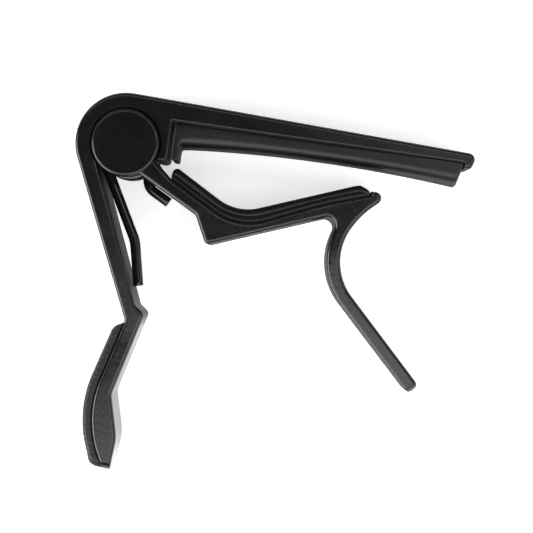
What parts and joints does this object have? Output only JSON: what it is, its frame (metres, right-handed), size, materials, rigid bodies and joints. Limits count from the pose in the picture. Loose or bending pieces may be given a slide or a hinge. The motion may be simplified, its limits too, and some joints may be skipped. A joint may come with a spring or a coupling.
{
  "type": "guitar capo",
  "caption": "Spring-loaded trigger guitar capo: padded string arm, cradle jaw with neck pad and finger lever, padded squeeze handle.",
  "frame": {"origin": "on the pivot axis at the outer face of the rear cap, the face that the capo lies on", "axes": "+X along the string arm away from the pivot, +Y away from the guitar neck, +Z along the pivot pin towards the front cap"},
  "size_m": [0.0834, 0.0787, 0.0179],
  "materials": {
    "cast_coated": "satin",
    "cap_coated": "satin",
    "pad_rubber": "satin",
    "grip_rubber": "matte",
    "spring_black": "gloss",
    "pin_steel": "satin",
    "clip_steel": "satin",
    "arbor_plastic": "satin",
    "bushing_plastic": "satin"
  },
  "bodies": {
    "frame": {"main_body": "cast_coated", "string_pad": "pad_rubber", "handle_grip": "grip_rubber", "pivot_pin": "pin_steel", "retaining_clip": "clip_steel", "spring_arbor": "arbor_plastic", "front_cap": "cap_coated", "rear_cap": "cap_coated", "torsion_spring": "spring_black"},
    "jaw": {"lower_jaw": "cast_coated", "neck_pad": "pad_rubber", "front_jaw_bushing": "bushing_plastic", "rear_jaw_bushing": "bushing_plastic"}
  },
  "joints": [
    {"name": "jaw_pivot", "type": "hinge", "parent": "frame", "child": "jaw", "pos_m": [0, 0, 0.00895], "axis": [0, 0, -1], "range_deg": [0, 27], "stiffness_Nm_per_rad": 2.45, "springref_deg": -11.46, "deforming": ["torsion_spring"]}
  ]
}
